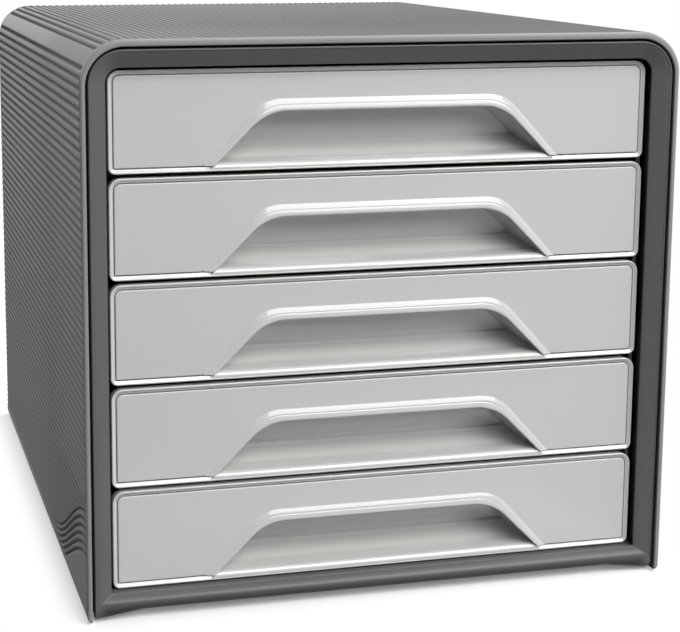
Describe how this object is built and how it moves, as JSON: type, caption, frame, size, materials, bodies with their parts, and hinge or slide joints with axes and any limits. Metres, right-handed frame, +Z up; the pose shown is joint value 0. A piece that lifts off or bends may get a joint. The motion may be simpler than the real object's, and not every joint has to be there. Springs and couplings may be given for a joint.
{
  "type": "desktop file drawer",
  "caption": "Desk-top storage module with a ribbed, round-shouldered housing and stacked pull-out drawers with wide trapezoid finger scoops.",
  "frame": {"origin": "on the desk, under the middle of the housing", "axes": "+X to the right seen from the front, +Y to the back, +Z up; the drawers face -Y"},
  "size_m": [0.288, 0.36, 0.27],
  "materials": {
    "housing_grey": "warm dark grey satin plastic with a faint sheen",
    "drawer_light_grey": "light grey gloss plastic",
    "facing_light_grey": "light grey high-gloss plastic",
    "rubber_black": "matt black rubber"
  },
  "bodies": {
    "housing": {"housing_cover": "housing_grey", "front_frame": "housing_grey", "base_panel": "housing_grey", "back_panel": "housing_grey", "right_runner_panel": "housing_grey", "left_runner_panel": "housing_grey", "foot_front_left": "rubber_black", "foot_front_right": "rubber_black", "foot_rear_left": "rubber_black", "foot_rear_right": "rubber_black"},
    "drawer_1": {"drawer_1_tray": "drawer_light_grey", "drawer_1_facing": "facing_light_grey"},
    "drawer_2": {"drawer_2_tray": "drawer_light_grey", "drawer_2_facing": "facing_light_grey"},
    "drawer_3": {"drawer_3_tray": "drawer_light_grey", "drawer_3_facing": "facing_light_grey"},
    "drawer_4": {"drawer_4_tray": "drawer_light_grey", "drawer_4_facing": "facing_light_grey"},
    "drawer_5": {"drawer_5_tray": "drawer_light_grey", "drawer_5_facing": "facing_light_grey"}
  },
  "joints": [
    {"name": "drawer_1_slide", "type": "slide", "parent": "housing", "child": "drawer_1", "axis": [0, -1, 0], "range_m": [0, 0.2728]},
    {"name": "drawer_2_slide", "type": "slide", "parent": "housing", "child": "drawer_2", "axis": [0, -1, 0], "range_m": [0, 0.2728]},
    {"name": "drawer_3_slide", "type": "slide", "parent": "housing", "child": "drawer_3", "axis": [0, -1, 0], "range_m": [0, 0.2728]},
    {"name": "drawer_4_slide", "type": "slide", "parent": "housing", "child": "drawer_4", "axis": [0, -1, 0], "range_m": [0, 0.2728]},
    {"name": "drawer_5_slide", "type": "slide", "parent": "housing", "child": "drawer_5", "axis": [0, -1, 0], "range_m": [0, 0.2728]}
  ]
}
